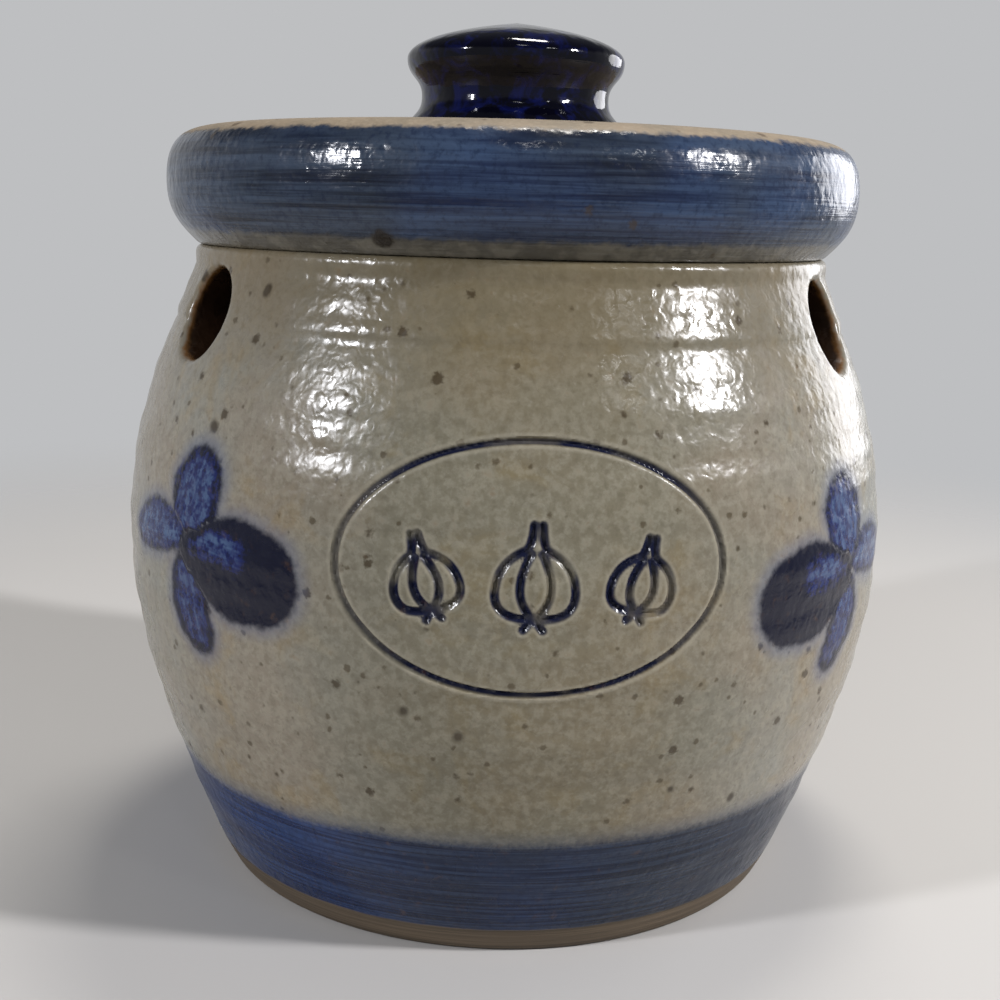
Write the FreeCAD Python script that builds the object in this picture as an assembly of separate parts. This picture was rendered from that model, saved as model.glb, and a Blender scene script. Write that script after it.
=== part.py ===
import FreeCAD, Part
import math
import os

# A stoneware garlic keeper: a vented jar, a lid that drops into its mouth, and a knob
# that is thrown apart and luted onto the lid. All sizes are millimetres. Z is the axis
# that the pots were turned on, Z = 0 is the surface that the keeper stands on, and the
# incised oval on the belly faces -Y.

# Jar: foot and outside wall
FOOT_RADIUS = 45.6          # outer edge of the standing ring
FOOT_RING_WIDTH = 7.5       # flat ring that touches the shelf
FOOT_RECESS_DEPTH = 2.6     # hollow turned out under the floor
FOOT_BEVEL_HEIGHT = 4.2     # bare clay strip, pared back towards the shelf
FOOT_BEVEL_WIDTH = 2.1
BELLY_RADIUS = 60.0
BELLY_HEIGHT = 52.5         # where the wall is widest
RIM_HEIGHT = 96.8
NECK_RADIUS = 49.3
NECK_LENGTH = 2.8           # short upright neck under the rim
FOOT_LEAN = 0.38            # outward run of the wall per mm of rise, just above the foot
SHOULDER_LEAN = 0.36        # inward run of the wall per mm of rise, just below the neck
FOOT_PULL = 0.33            # shares of each curve's rise that its end directions reach
BELLY_PULL_DOWN = 0.34
BELLY_PULL_UP = 0.47
SHOULDER_PULL = 0.29

# Jar: inside
WALL = 6.0                  # level thickness of the wall
FLOOR = 7.5                 # inside floor above the shelf
FLOOR_FILLET = 6.0
RIM_ROUNDING = 1.3

# Jar: vents and incised oval
VENT_COUNT = 3
VENT_RADIUS = 6.35
VENT_BELOW_RIM = 9.3        # rim to the middle of a vent
OVAL_HALF_WIDTH = 24.7
OVAL_HALF_HEIGHT = 16.0
OVAL_CENTRE_HEIGHT = 59.2
GROOVE_WIDTH = 1.2
GROOVE_DEPTH = 0.6

# Lid
SEAT_INSET = 0.5            # lid's lower edge, in from the neck's outside
LID_OVERHANG = 4.1          # lid's widest, out from the neck's outside
LID_BEVEL_HEIGHT = 9.2      # seat up to the widest
LID_BEVEL_RUN = 2.8         # how far the bevel leaves at 45 degrees before it curves up
LID_ROUND_HEIGHT = 7.9      # widest up to the top
LID_ROUND_WIDTH = 7.6
LID_CROWN = 0.8             # rise of the top from its rounded edge to the knob
LID_TOP = 7.5               # thickness of clay under the knob
FLANGE_DEPTH = 6.0          # collar that drops into the mouth
FLANGE_CLEARANCE = 1.5      # collar to mouth, all round
FLANGE_THICKNESS = 5.0
FLANGE_ROUNDING = 1.2
LID_HOLLOW_FILLET = 5.0

# Knob
KNOB_FOOT_RADIUS = 17.3
KNOB_WAIST_RADIUS = 14.6
KNOB_WAIST_HEIGHT = 5.3
KNOB_RADIUS = 16.9
KNOB_WIDEST_HEIGHT = 10.8
KNOB_HEIGHT = 16.6
KNOB_TIP_SLOPE = 0.16       # fall per mm outwards at the tip

# Places that follow from the sizes above
NECK_HEIGHT = RIM_HEIGHT - NECK_LENGTH
MOUTH_RADIUS = NECK_RADIUS - WALL
VENT_HEIGHT = RIM_HEIGHT - VENT_BELOW_RIM
LID_WIDEST_HEIGHT = RIM_HEIGHT + LID_BEVEL_HEIGHT
LID_EDGE_HEIGHT = LID_WIDEST_HEIGHT + LID_ROUND_HEIGHT
KNOB_SEAT_HEIGHT = LID_EDGE_HEIGHT + LID_CROWN
LID_RADIUS = NECK_RADIUS + LID_OVERHANG
FLANGE_RADIUS = MOUTH_RADIUS - FLANGE_CLEARANCE
LID_HOLLOW_RADIUS = FLANGE_RADIUS - FLANGE_THICKNESS
BEYOND = 20.0               # how far cutting tools reach past what they cut
LEVEL_TOLERANCE = 0.01


def at(radius, height):
    """Point of a half outline, in the XZ plane."""
    return FreeCAD.Vector(radius, 0.0, height)


def straight(start, end):
    return Part.makeLine(start, end)


def bowed(start, start_handle, end_handle, end):
    """Smooth stretch of outline that leaves and arrives along its two handles."""
    curve = Part.BezierCurve()
    curve.setPoles([start, start_handle, end_handle, end])
    return curve.toShape()


def turned(edges):
    """Solid turned on the Z axis from a closed half outline."""
    face = Part.Face(Part.Wire(Part.__sortEdges__(edges)))
    return face.revolve(FreeCAD.Vector(0, 0, 0), FreeCAD.Vector(0, 0, 1), 360.0)


def rounded(solid, radius, height):
    """Fillet the edges that run level round the axis at one height."""
    picked = []
    for edge in solid.Edges:
        box = edge.BoundBox
        is_level = abs(box.ZMin - height) < LEVEL_TOLERANCE and abs(box.ZMax - height) < LEVEL_TOLERANCE
        goes_round = box.YLength > radius
        if is_level and goes_round:
            picked.append(edge)
    return solid.makeFillet(radius, picked)


def wall_outline(inset):
    """Half outline of the jar's outside, moved in towards the axis by inset."""
    foot = at(FOOT_RADIUS - inset, 0.0)
    bevel_top = at(FOOT_RADIUS + FOOT_BEVEL_WIDTH - inset, FOOT_BEVEL_HEIGHT)
    belly = at(BELLY_RADIUS - inset, BELLY_HEIGHT)
    neck = at(NECK_RADIUS - inset, NECK_HEIGHT)
    rim = at(NECK_RADIUS - inset, RIM_HEIGHT)
    lower_rise = BELLY_HEIGHT - FOOT_BEVEL_HEIGHT
    upper_rise = NECK_HEIGHT - BELLY_HEIGHT
    foot_reach = FOOT_PULL * lower_rise
    shoulder_reach = SHOULDER_PULL * upper_rise
    lower = bowed(
        bevel_top,
        bevel_top + at(FOOT_LEAN * foot_reach, foot_reach),
        belly - at(0.0, BELLY_PULL_DOWN * lower_rise),
        belly,
    )
    upper = bowed(
        belly,
        belly + at(0.0, BELLY_PULL_UP * upper_rise),
        neck + at(SHOULDER_LEAN * shoulder_reach, -shoulder_reach),
        neck,
    )
    return [
        straight(at(0.0, 0.0), foot),
        straight(foot, bevel_top),
        lower,
        upper,
        straight(neck, rim),
        straight(rim, at(0.0, RIM_HEIGHT)),
        straight(at(0.0, RIM_HEIGHT), at(0.0, 0.0)),
    ]


def jar_hollow():
    """The space inside the jar, from its floor to past its mouth."""
    shell_space = turned(wall_outline(WALL))
    above_floor = Part.makeCylinder(BELLY_RADIUS + BEYOND, RIM_HEIGHT - FLOOR, at(0.0, FLOOR))
    hollow = shell_space.common(above_floor)
    hollow = rounded(hollow, FLOOR_FILLET, FLOOR)
    return hollow


def foot_recess():
    radius = FOOT_RADIUS - FOOT_RING_WIDTH
    return Part.makeCone(radius, radius - FOOT_RECESS_DEPTH, FOOT_RECESS_DEPTH)


def vent(number):
    """One round hole through the shoulder. The oval is midway between two of them."""
    angle = 360.0 / VENT_COUNT * (number + 0.5)
    inner_end = MOUTH_RADIUS / 2
    length = BELLY_RADIUS + BEYOND - inner_end
    tool = Part.makeCylinder(VENT_RADIUS, length, FreeCAD.Vector(0, -inner_end, VENT_HEIGHT), FreeCAD.Vector(0, -1, 0))
    tool.rotate(FreeCAD.Vector(0, 0, 0), FreeCAD.Vector(0, 0, 1), angle)
    return tool


def oval_prism(half_width, half_height):
    """Oval bar that runs out through the front of the jar."""
    axis_start = FreeCAD.Vector(0, 0, OVAL_CENTRE_HEIGHT)
    ellipse = Part.Ellipse(
        axis_start + FreeCAD.Vector(half_width, 0, 0),
        axis_start + FreeCAD.Vector(0, 0, half_height),
        axis_start,
    )
    face = Part.Face(Part.Wire(ellipse.toShape()))
    return face.extrude(FreeCAD.Vector(0, -BELLY_RADIUS - BEYOND, 0))


def oval_groove():
    """Ring of clay that the incised oval takes out of the belly."""
    outer = oval_prism(OVAL_HALF_WIDTH + GROOVE_WIDTH / 2, OVAL_HALF_HEIGHT + GROOVE_WIDTH / 2)
    inner = oval_prism(OVAL_HALF_WIDTH - GROOVE_WIDTH / 2, OVAL_HALF_HEIGHT - GROOVE_WIDTH / 2)
    return outer.cut(inner).cut(turned(wall_outline(GROOVE_DEPTH)))


def make_jar():
    jar = turned(wall_outline(0.0))
    jar = jar.cut(jar_hollow())
    jar = rounded(jar, RIM_ROUNDING, RIM_HEIGHT)
    jar = jar.cut(foot_recess())
    jar = jar.cut(oval_groove())
    for number in range(VENT_COUNT):
        jar = jar.cut(vent(number))
    return jar


def make_lid():
    seat = at(NECK_RADIUS - SEAT_INSET, RIM_HEIGHT)
    widest = at(LID_RADIUS, LID_WIDEST_HEIGHT)
    top_edge = at(LID_RADIUS - LID_ROUND_WIDTH, LID_EDGE_HEIGHT)
    knob_seat = at(KNOB_FOOT_RADIUS, KNOB_SEAT_HEIGHT)
    bevel = bowed(
        seat,
        seat + at(LID_BEVEL_RUN, LID_BEVEL_RUN),
        widest - at(0.0, LID_BEVEL_HEIGHT / 2),
        widest,
    )
    rounding = bowed(
        widest,
        widest + at(0.0, 0.74 * LID_ROUND_HEIGHT),
        top_edge + at(0.7 * LID_ROUND_WIDTH, 0.0),
        top_edge,
    )
    flange_top = at(FLANGE_RADIUS, RIM_HEIGHT)
    flange_edge = at(FLANGE_RADIUS, RIM_HEIGHT - FLANGE_DEPTH)
    hollow_edge = at(LID_HOLLOW_RADIUS, RIM_HEIGHT - FLANGE_DEPTH)
    hollow_corner = at(LID_HOLLOW_RADIUS, KNOB_SEAT_HEIGHT - LID_TOP)
    lid = turned([
        bevel,
        rounding,
        straight(top_edge, knob_seat),
        straight(knob_seat, at(0.0, KNOB_SEAT_HEIGHT)),
        straight(at(0.0, KNOB_SEAT_HEIGHT), at(0.0, KNOB_SEAT_HEIGHT - LID_TOP)),
        straight(at(0.0, KNOB_SEAT_HEIGHT - LID_TOP), hollow_corner),
        straight(hollow_corner, hollow_edge),
        straight(hollow_edge, flange_edge),
        straight(flange_edge, flange_top),
        straight(flange_top, seat),
    ])
    lid = rounded(lid, LID_HOLLOW_FILLET, KNOB_SEAT_HEIGHT - LID_TOP)
    lid = rounded(lid, FLANGE_ROUNDING, RIM_HEIGHT - FLANGE_DEPTH)
    return lid


def make_knob():
    foot = at(KNOB_FOOT_RADIUS, KNOB_SEAT_HEIGHT)
    waist = at(KNOB_WAIST_RADIUS, KNOB_SEAT_HEIGHT + KNOB_WAIST_HEIGHT)
    widest = at(KNOB_RADIUS, KNOB_SEAT_HEIGHT + KNOB_WIDEST_HEIGHT)
    tip = at(0.0, KNOB_SEAT_HEIGHT + KNOB_HEIGHT)
    neck_rise = KNOB_WIDEST_HEIGHT - KNOB_WAIST_HEIGHT
    dome_rise = KNOB_HEIGHT - KNOB_WIDEST_HEIGHT
    tip_reach = KNOB_RADIUS / 2
    return turned([
        straight(at(0.0, KNOB_SEAT_HEIGHT), foot),
        bowed(foot, (foot + waist) * 0.5, waist - at(0.0, KNOB_WAIST_HEIGHT / 2), waist),
        bowed(waist, waist + at(0.0, neck_rise / 2), widest - at(0.0, neck_rise / 2), widest),
        bowed(widest, widest + at(0.0, dome_rise / 2), tip + at(tip_reach, -KNOB_TIP_SLOPE * tip_reach), tip),
        straight(tip, at(0.0, KNOB_SEAT_HEIGHT)),
    ])


def save(shape, node):
    solid = shape.Solids[0]
    print(node, "valid", solid.isValid(), "solids", len(shape.Solids), "cm3", round(solid.Volume / 1000, 1))
    solid.exportStep("parts/" + node + ".step")


os.makedirs("parts", exist_ok=True)
save(make_jar(), "jar")
save(make_lid(), "lid")
save(make_knob(), "knob")
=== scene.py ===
import math

import bpy
import numpy as np
from mathutils import Matrix, Vector


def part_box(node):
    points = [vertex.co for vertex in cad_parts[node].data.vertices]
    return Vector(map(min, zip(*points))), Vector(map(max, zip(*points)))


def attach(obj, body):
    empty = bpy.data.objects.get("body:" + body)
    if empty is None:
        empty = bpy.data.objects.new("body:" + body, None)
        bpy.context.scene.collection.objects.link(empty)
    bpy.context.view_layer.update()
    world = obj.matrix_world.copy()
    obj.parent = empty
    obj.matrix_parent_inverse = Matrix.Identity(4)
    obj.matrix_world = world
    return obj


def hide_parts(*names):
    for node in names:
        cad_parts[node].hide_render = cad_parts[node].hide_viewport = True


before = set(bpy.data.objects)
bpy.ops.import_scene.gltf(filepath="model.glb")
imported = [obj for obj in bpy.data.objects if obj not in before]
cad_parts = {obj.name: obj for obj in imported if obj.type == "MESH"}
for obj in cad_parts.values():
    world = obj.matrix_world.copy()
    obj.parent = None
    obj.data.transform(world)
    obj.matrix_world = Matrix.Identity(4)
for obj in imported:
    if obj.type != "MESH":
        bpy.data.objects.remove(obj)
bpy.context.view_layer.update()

MM = 0.001
bpy.ops.object.select_all(action="DESELECT")
jar_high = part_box("jar")[1]
lid_low, lid_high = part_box("lid")
knob_low, knob_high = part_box("knob")

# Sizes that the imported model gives
RIM_HEIGHT = jar_high.z
BELLY_RADIUS = jar_high.x
LID_RADIUS = lid_high.x
COLLAR_BOTTOM = lid_low.z
KNOB_SEAT_HEIGHT = knob_low.z
KNOB_TOP = knob_high.z
KNOB_FOOT_RADIUS = knob_high.x

# Jar. A lean is run for rise where a curve ends, and a pull is how far up it holds its lean
FOOT_RADIUS = 45.6 * MM
FOOT_RING_WIDTH = 7.5 * MM
FOOT_RECESS_DEPTH = 2.6 * MM
FOOT_RECESS_ROUNDING = 2.0 * MM
FOOT_INNER_ROUNDING = 0.9 * MM
FOOT_EDGE_RISE = 0.7 * MM
FOOT_EDGE_RUN = 0.35 * MM
FOOT_BEVEL_HEIGHT = 4.2 * MM
FOOT_BEVEL_WIDTH = 2.1 * MM
BELLY_HEIGHT = 52.5 * MM
NECK_RADIUS = 49.3 * MM
NECK_HEIGHT = RIM_HEIGHT - 2.8 * MM
FOOT_LEAN = 0.38
SHOULDER_LEAN = 0.36
FOOT_PULL = 0.33
BELLY_PULL_DOWN = 0.34
BELLY_PULL_UP = 0.47
SHOULDER_PULL = 0.29
CORNER_PULL = 0.6           # about a quarter circle
WALL = 6.0 * MM
FLOOR = 7.5 * MM
FLOOR_FILLET = 6.0 * MM
FLOOR_FILLET_PULL = 2.0 * MM
RIM_ROUNDING = 1.3 * MM
WALL_ROWS = 48
INSIDE_ROWS = 12
JAR_SEGMENTS = 360

# Marks of the fingers on the thrown wall, in mm
SOFT_RINGS = ((0.10, 11.0, 0.6), (0.05, 4.3, 0.0))          # depth, spacing, phase in radians
RINGS_START, RINGS_END = (6.0, 14.0), (90.0, 95.0)          # heights where they fade in and out
SHOULDER_MARKS = ((86.0, -0.22, 0.55), (87.6, 0.12, 0.9))   # height, depth, half width

# Vents
VENT_RADIUS = 6.35 * MM
VENT_HEIGHT = RIM_HEIGHT - 9.3 * MM
VENT_ANGLES = (60.0, 180.0, 300.0)
VENT_EDGE = 1.1 * MM                    # how far glaze and sponge rounded the edge
VENT_FLARE = (0, 20, 40, 60, 75)        # degrees round that edge where the cutter has a row
VENT_LEAD = 1.5 * MM                    # how much wider the cutter gets outside the wall
VENT_LEAD_START = 0.6 * MM
VENT_INNER_END = -2.2 * WALL
VENT_OUTER_END = 6.0 * MM
VENT_SEGMENTS = 64
SLIVER = 0.004 * MM                     # shorter edges than this, left by a cut, are closed up

# Incised oval, and the bulbs stamped in it: mm across, mm up, scale, lean in degrees
OVAL_HALF_WIDTH = 24.7 * MM
OVAL_HALF_HEIGHT = 16.0 * MM
OVAL_HEIGHT = 59.2 * MM
OVAL_STEPS = 241
BULBS = (
    (0.3, 58.2, 1.12, -2.0),
    (-13.4, 58.0, 0.92, 14.0),
    (13.9, 57.8, 0.90, -12.0),
)
HALF_BULB = (                           # start, pull and end of each line in mm, and its points
    ((0.0, -4.3), (4.6, -4.6), (4.5, -1.2), 28),
    ((4.5, -1.2), (4.3, 2.0), (1.2, 3.4), 28),
    ((1.2, 3.4), (0.6, 4.0), (0.5, 6.2), 28),
    ((0.5, -3.9), (2.9, -1.2), (0.6, 3.0), 28),
    ((0.4, -4.6), (0.6, -5.0), (1.1, -5.6), 6),
)
GROOVE_DEPTH = 0.6 * MM
GROOVE_SIDE = (0.1, 0.62)               # mm from the line where the groove's side starts and ends
BURR_HEIGHT = 0.05 * MM
BURR_RISE, BURR_FALL = (0.5, 0.8), (0.8, 1.3)
CARVED_REACH = (29.0, 20.0)             # mm across and up from the oval's middle that can be carved
CARVED_SKIN = 5.0 * MM
FAR = 99.0                              # mm, for what is nowhere near a line

# Parts of the belly with finer faces: two angles from the front, and two heights
OVAL_PART = (0.0, 28.5, 40.0 * MM, 78.5 * MM)
SPRAY_PART = (28.5, 74.0, 38.0 * MM, 74.0 * MM)

# Sprays, in mm round and up: the side that the leaves point to, and the hub's place. A stroke is
# its start, pull and end from the hub, its half width at these, and its load of pigment
PAINT_RADIUS = 58.0
SPRAYS = ((-1.0, (-50.3, 57.2)), (1.0, (51.5, 54.8)))
SPRAY_STROKES = (
    ((0.2, 1.0), (0.3, 5.0), (-1.9, 8.9), (1.6, 7.4, 5.0), 0.32),
    ((1.0, 0.4), (8.0, 2.4), (14.6, -0.4), (1.4, 5.6, 3.0), 0.25),
    ((0.2, -1.0), (1.4, -5.8), (-2.0, -11.6), (1.4, 6.2, 3.8), 0.38),
    ((-1.5, -0.6), (-7.5, -1.6), (-14.0, -2.2), (3.2, 8.8, 6.6), 1.0),
)
THIN_PATCH = ((-1.6, 0.4), (-5.0, 1.6), (-9.4, 0.4), (1.6, 3.8, 2.6), 0.3)
THIN_PATCH_EDGE = (-2.4, 2.2)
HEAVY_LOAD = 0.8                        # a bud is loaded more than this, and a leaf less
PAINTED_REACH = (20.0, 100.0)           # degrees round from the front, either side
PAINTED_HEIGHTS = (36.0, 80.0)          # mm up
UNPAINTED = 9.0                         # mm to a stroke, where none is near
SIDE_SHIFT, LOAD_SHIFT = 40.0, 90.0     # mm, so that strokes differ in their bristle lines

# Lid
LID_SEAT_RADIUS = 48.8 * MM
LID_SEAT_EDGE = 0.4 * MM
LID_BEVEL_HEIGHT = 9.2 * MM
LID_BEVEL_RUN = 2.8 * MM
LID_ROUND_HEIGHT = 7.9 * MM
LID_ROUND_WIDTH = 7.6 * MM
LID_ROUND_PULL_UP = 0.74
LID_ROUND_PULL_OUT = 0.7
LID_WIDEST_HEIGHT = RIM_HEIGHT + LID_BEVEL_HEIGHT
LID_EDGE_HEIGHT = LID_WIDEST_HEIGHT + LID_ROUND_HEIGHT
COLLAR_RADIUS = 41.8 * MM
COLLAR_INNER_RADIUS = 36.8 * MM
COLLAR_ROUNDING = 1.2 * MM
COLLAR_CORNER = 0.5 * MM
HOLLOW_FILLET = 5.0 * MM
LID_TOP = 7.5 * MM
LID_SEGMENTS = 300

# Knob
KNOB_FOOT_EDGE = 0.3 * MM
KNOB_WAIST_RADIUS = 14.6 * MM
KNOB_WAIST_HEIGHT = 5.3 * MM
KNOB_RADIUS = 16.9 * MM
KNOB_WIDEST_HEIGHT = 10.8 * MM
KNOB_TIP_SLOPE = 0.16
KNOB_SEGMENTS = 160

# Shaping
MERGE_DISTANCE = 0.02 * MM
LEAST_PUSH = 0.002
SHARP_ANGLE = 40.0          # degrees, past which an edge isn't shaded smooth

# Glaze zones, in mm up
BAND_BOTTOM = 4.25
BAND_TOP = 20.0
AMBER_END = (95.2, 96.2)    # above it the rim's edge keeps the wall's colour
LID_BAND_BOTTOM = 99.0
LID_BAND_TOP = 112.5
LID_HOLLOW_TOP = (112.8, 113.2)

# Skins and glosses of the finishes: strength and depth in metres of the bumps, and reflection
SALT_GLAZE_SKIN = (0.9, 0.12 * MM, 0.36)
KNOB_GLAZE_SKIN = (0.6, 0.22 * MM, 0.35)
GLAZE_IOR = 1.5
BARE_FOOT_ROUGHNESS = 0.72
DRY_CLAY_ROUGHNESS = 0.6
KNOB_ROUGHNESS = 0.08

# Iron specks all over: mm apart, mm across, share that show, strength, colour
JAR_SPECKS = (
    (2.3, 0.6, 0.6, 0.72, "#453a27"),
    (4.0, 0.9, 0.6, 0.85, "#3c3120"),
    (11.0, 1.15, 0.45, 0.92, "#2a2015"),
)
LID_TOP_SPECKS = (3.0, 0.9, 0.6, 0.75, "#4b3b2a")
LID_SPECKS = (6.0, 0.9, 0.3, 0.7, "#3c3022")

# Larger iron spots: degrees round, mm up, radius in mm
JAR_SPOTS = (
    (-43.6, 91.5, 0.9), (-65.8, 92.5, 1.0), (-47.0, 73.5, 0.9), (-8.7, 37.1, 0.7),
    (-15.6, 40.1, 0.6), (32.9, 23.6, 0.7), (21.0, 27.5, 0.5), (118.0, 62.0, 0.9),
    (-131.0, 44.0, 0.7), (163.0, 71.0, 0.8),
)
LID_SPOT = (-22.1, 98.3, 1.9)
LID_SPOT_RADIUS = 51.5      # mm from the axis to the bevel where that spot is

# Camera, as the photograph was taken
FOCAL_PIXELS = 1346.0
IMAGE_PIXELS = 1000.0
SENSOR = 36.0
CAMERA_DISTANCE = 219.4 * MM
CAMERA_HEIGHT = 102.3 * MM
CAMERA_PITCH = math.radians(11.99)
CAMERA_ROLL = math.radians(1.52)
CAMERA_YAW = math.radians(-0.185)
CAMERA_TURN = math.radians(-3.7)
CAMERA_CLIP = (0.01, 30.0)

# Lamps: name, degrees round to the right and up, distance, width, height, watts, colour
LAMPS = (
    ("left_lamp", -59.0, 24.0, 0.75, 0.04, 0.15, 3.5, "#f8f9ff"),
    ("right_lamp", 65.0, 30.0, 0.75, 0.05, 0.13, 5.9, "#fdfcff"),
    ("side_lamp", 125.0, 10.0, 0.95, 0.55, 0.50, 3.1, "#fbfbff"),
    ("top_lamp", 150.0, 76.0, 0.80, 0.26, 0.14, 3.2, "#fffaf2"),
    ("front_lamp", 2.0, 50.0, 0.90, 0.10, 0.03, 0.15, "#ffffff"),
    ("window_lamp", 37.0, 36.0, 0.90, 0.05, 0.05, 0.25, "#ffffff"),
)
LAMP_AIM = Vector((0, 0, 0.08))
ROOM_FRONT = "#8e9094"
ROOM_BACK = "#bebfc1"
ROOM_CEILING = "#4c4e52"
BACK_FADE = (-0.1, 0.6)     # how far to the back a direction points where the room changes
CEILING_FADE = (0.3, 0.6)   # and how far up
FLOOR_COLOUR = "#b9b7b4"
FLOOR_SIDES = 96
FLOOR_FADE = (0.16, 0.42)   # metres from the pot where the floor starts and ends its fade


def srgb(code):
    """Linear colour of an sRGB hex code."""
    parts = [int(code[i:i + 2], 16) / 255 for i in (1, 3, 5)]
    linear = [c / 12.92 if c <= 0.04045 else ((c + 0.055) / 1.055) ** 2.4 for c in parts]
    return (*linear, 1.0)


def smooth_step(low, high, value):
    """0 below low, 1 above high, and smoothly between."""
    t = np.clip((value - low) / (high - low), 0.0, 1.0)
    return t * t * (3.0 - 2.0 * t)


# Turning a pot

def bowed(start, start_handle, end_handle, end, count):
    """Points of a smooth stretch of outline, without its first."""
    points = []
    for i in range(1, count + 1):
        t = i / count
        s = 1.0 - t
        a, b, c, d = s * s * s, 3 * s * s * t, 3 * s * t * t, t * t * t
        four = zip(start, start_handle, end_handle, end)
        points.append(tuple(a * p0 + b * p1 + c * p2 + d * p3 for p0, p1, p2, p3 in four))
    return points


def straight(start, end, count):
    """Points of a straight stretch of outline, without its first."""
    steps = [i / count for i in range(1, count + 1)]
    return [tuple(a + (b - a) * t for a, b in zip(start, end)) for t in steps]


def corner(start, turn, end, count=5):
    """Rounded corner from start to end, pulled towards turn."""
    handles = [tuple(a + (b - a) * CORNER_PULL for a, b in zip(side, turn)) for side in (start, end)]
    return bowed(start, *handles, end, count)


def turned(name, outline, segments):
    """A pot turned on the wheel: its half outline spun once round the axis."""
    first = outline[0]
    bpy.ops.mesh.primitive_plane_add(size=MM, location=(first[0], 0.0, first[1]))
    piece = bpy.context.object
    piece.name = name
    bpy.ops.object.transform_apply(location=True, rotation=True, scale=True)
    bpy.ops.object.mode_set(mode="EDIT")
    bpy.ops.mesh.select_mode(type="VERT")
    bpy.ops.mesh.merge(type="CENTER")
    for (r0, z0), (r1, z1) in zip(outline, outline[1:]):
        bpy.ops.mesh.extrude_vertices_move(TRANSFORM_OT_translate={"value": (r1 - r0, 0.0, z1 - z0)})
    bpy.ops.mesh.select_all(action="SELECT")
    bpy.ops.mesh.spin(steps=segments, angle=2.0 * math.pi, center=(0, 0, 0), axis=(0, 0, 1))
    bpy.ops.mesh.select_all(action="SELECT")
    bpy.ops.mesh.remove_doubles(threshold=MERGE_DISTANCE)
    bpy.ops.mesh.normals_make_consistent(inside=False)
    bpy.ops.object.mode_set(mode="OBJECT")
    return piece


# Outlines of the three pots

def jar_wall(inset):
    """Outside of the wall from the top of the foot bevel to the neck, moved in by inset."""
    start = (FOOT_RADIUS + FOOT_BEVEL_WIDTH - inset, FOOT_BEVEL_HEIGHT)
    belly = (BELLY_RADIUS - inset, BELLY_HEIGHT)
    neck = (NECK_RADIUS - inset, NECK_HEIGHT)
    lower_rise = BELLY_HEIGHT - FOOT_BEVEL_HEIGHT
    upper_rise = NECK_HEIGHT - BELLY_HEIGHT
    foot_reach = FOOT_PULL * lower_rise
    shoulder_reach = SHOULDER_PULL * upper_rise
    rows = WALL_ROWS if inset == 0.0 else INSIDE_ROWS
    lower = bowed(
        start,
        (start[0] + FOOT_LEAN * foot_reach, start[1] + foot_reach),
        (belly[0], belly[1] - BELLY_PULL_DOWN * lower_rise),
        belly,
        rows,
    )
    upper = bowed(
        belly,
        (belly[0], belly[1] + BELLY_PULL_UP * upper_rise),
        (neck[0] + SHOULDER_LEAN * shoulder_reach, neck[1] - shoulder_reach),
        neck,
        rows,
    )
    return [start] + lower + upper


def throwing_marks(point):
    """Moves a point of the wall by the rings that the potter's fingers left."""
    radius, height = point
    z = height / MM
    turns = z * 2 * math.pi
    rings = sum(depth * math.sin(turns / spacing + phase) for depth, spacing, phase in SOFT_RINGS)
    rings *= smooth_step(*RINGS_START, z) * (1.0 - smooth_step(*RINGS_END, z))
    marks = sum(depth * math.exp(-((z - up) / half) ** 2) for up, depth, half in SHOULDER_MARKS)
    return (radius + (rings + marks) * MM, height)


def jar_outline():
    """Half outline of the jar, from the middle of its underside to the middle of its floor."""
    recess = FOOT_RADIUS - FOOT_RING_WIDTH
    recess_top = recess - FOOT_RECESS_DEPTH
    half_way = FOOT_RECESS_DEPTH / 2
    mouth = NECK_RADIUS - WALL
    bevel_end = (FOOT_RADIUS + FOOT_BEVEL_WIDTH - FOOT_EDGE_RUN, FOOT_BEVEL_HEIGHT - FOOT_EDGE_RISE)
    outline = [(0.0, FOOT_RECESS_DEPTH)]
    outline += straight(outline[0], (recess_top - FOOT_RECESS_ROUNDING, FOOT_RECESS_DEPTH), 6)
    outline += corner(outline[-1], (recess_top, FOOT_RECESS_DEPTH), (recess_top + half_way, half_way))
    outline += corner(outline[-1], (recess, 0.0), (recess + FOOT_INNER_ROUNDING, 0.0))
    outline += straight(outline[-1], (FOOT_RADIUS - FOOT_EDGE_RISE, 0.0), 3)
    outline += corner(outline[-1], (FOOT_RADIUS, 0.0), (FOOT_RADIUS + FOOT_EDGE_RUN, FOOT_EDGE_RISE))
    outline += straight(outline[-1], bevel_end, 6)
    outline += [throwing_marks(point) for point in jar_wall(0.0)][1:]
    outline += straight(outline[-1], (NECK_RADIUS, RIM_HEIGHT - RIM_ROUNDING), 3)
    outline += corner(outline[-1], (NECK_RADIUS, RIM_HEIGHT), (NECK_RADIUS - RIM_ROUNDING, RIM_HEIGHT))
    outline += straight(outline[-1], (mouth + RIM_ROUNDING, RIM_HEIGHT), 3)
    outline += corner(outline[-1], (mouth, RIM_HEIGHT), (mouth, RIM_HEIGHT - RIM_ROUNDING))
    inside = [point for point in jar_wall(WALL) if point[1] > FLOOR + FLOOR_FILLET]
    outline += reversed(inside)
    lowest = inside[0][0]
    floor_edge = lowest - FLOOR_FILLET
    outline += corner(outline[-1], (lowest - FLOOR_FILLET_PULL, FLOOR), (floor_edge, FLOOR), 8)
    outline += straight((floor_edge, FLOOR), (0.0, FLOOR), 8)
    return outline


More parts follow.
